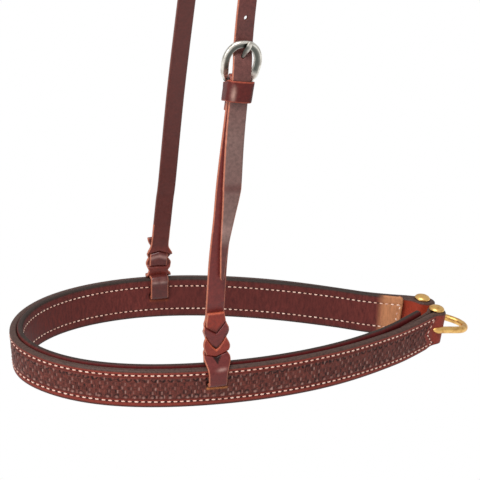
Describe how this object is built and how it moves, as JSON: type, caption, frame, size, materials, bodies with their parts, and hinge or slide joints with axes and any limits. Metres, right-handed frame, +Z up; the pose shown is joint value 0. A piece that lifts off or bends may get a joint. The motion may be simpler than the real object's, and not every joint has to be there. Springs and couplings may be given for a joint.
{
  "type": "bridle noseband",
  "caption": "Western tie-down noseband: stitched, tooled two-layer nose band on a buckled half-inch hanger strap, with a brass bow at the back.",
  "frame": {"origin": "underside of the crown strap at its middle, where it rests on the poll", "axes": "+Z up along the hanging strap, +X from the nose towards the tie-down bow, +Y towards the wearer's off side"},
  "size_m": [0.3341, 0.1623, 0.5226],
  "materials": {
    "tooled_leather": "oiled burgundy harness leather with tooled pattern",
    "lining_leather": "smooth oiled burgundy leather",
    "strap_leather": "oiled burgundy latigo",
    "antique_nickel": "antique nickel",
    "solid_brass": "polished solid brass"
  },
  "bodies": {
    "noseband": {"crown_strap": "strap_leather", "near_cheek_strap": "strap_leather", "outer_band": "tooled_leather", "lining_band": "lining_leather", "near_pin_post": "solid_brass", "near_pin_screw": "solid_brass", "far_pin_post": "solid_brass", "far_pin_screw": "solid_brass", "tie_down_bow": "solid_brass"},
    "keeper": {"keeper_loop": "strap_leather"},
    "buckle": {"buckle_frame": "antique_nickel"},
    "tongue": {"buckle_tongue": "antique_nickel"}
  },
  "joints": [
    {"name": "keeper_slide", "type": "slide", "parent": "noseband", "child": "keeper", "axis": [0.166, 0.1367, 0.9766], "range_m": [-0.012, 0]},
    {"name": "buckle_rock", "type": "hinge", "parent": "noseband", "child": "buckle", "pos_m": [-0.02041, -0.05387, -0.2867], "axis": [0.9861, -0.023, -0.1644], "range_deg": [-1, 3]},
    {"name": "tongue_swing", "type": "hinge", "parent": "buckle", "child": "tongue", "pos_m": [-0.02041, -0.05387, -0.2867], "axis": [0.9861, -0.023, -0.1644], "range_deg": [0, 4]}
  ]
}
